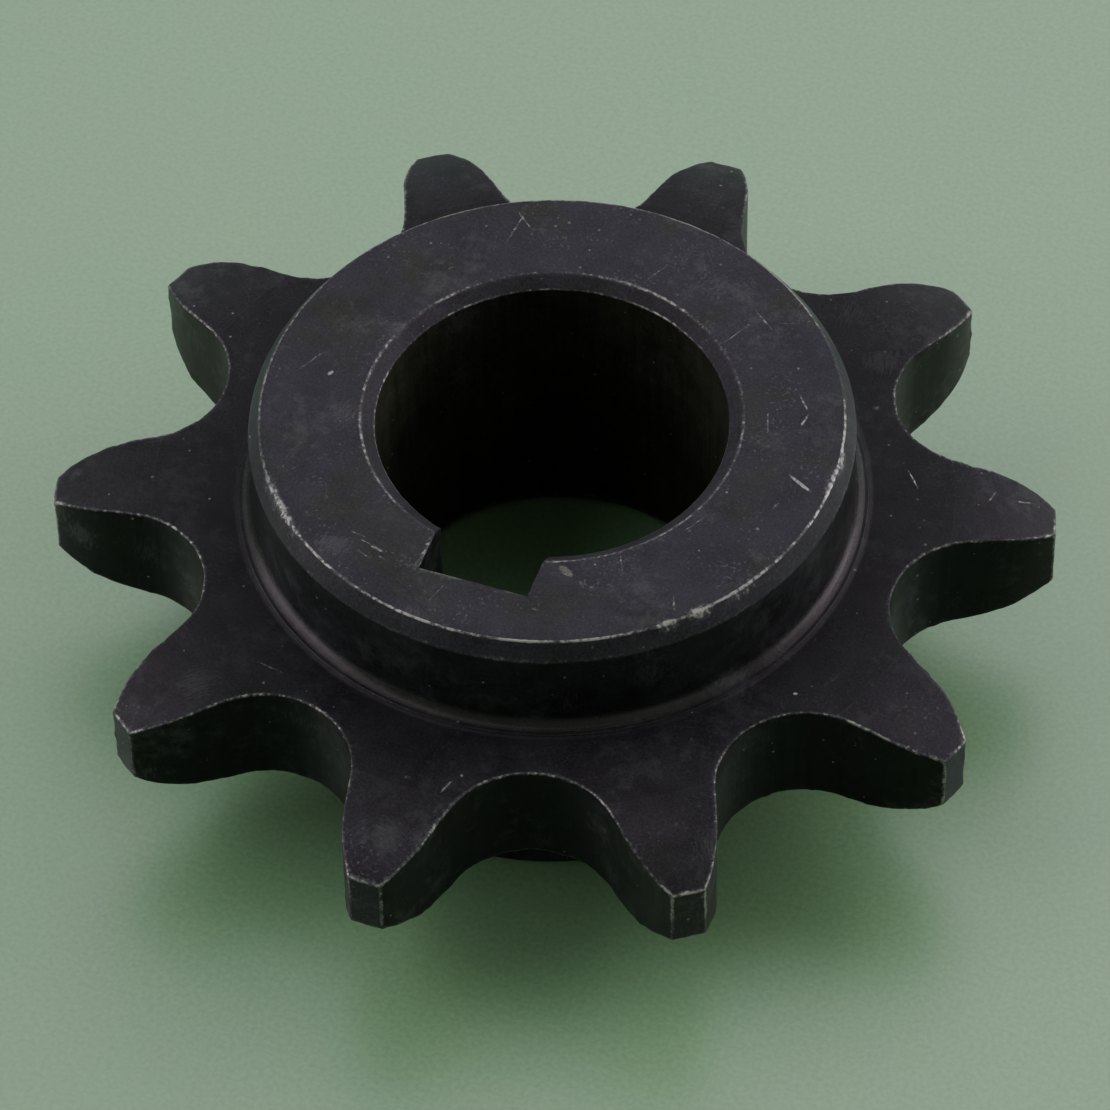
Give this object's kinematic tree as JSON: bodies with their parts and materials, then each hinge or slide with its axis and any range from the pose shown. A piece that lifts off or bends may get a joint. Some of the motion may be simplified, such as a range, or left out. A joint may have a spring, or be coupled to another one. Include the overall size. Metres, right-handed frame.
{
  "type": "chain sprocket",
  "caption": "Small roller-chain sprocket with hubs on both sides, a chamfered through bore and one keyway, in blackened steel.",
  "frame": {"origin": "centre of the short hub's end face, on the shaft axis, where the sprocket stands", "axes": "+Z along the shaft axis towards the long hub, -Y towards the keyway and the tooth that it points at"},
  "size_m": [0.0442, 0.046, 0.0154],
  "materials": {
    "chain_sprocket": "turned steel with a satin black-oxide finish, worn bright along the edges"
  },
  "bodies": {
    "root": {"chain_sprocket": "chain_sprocket"}
  },
  "joints": []
}
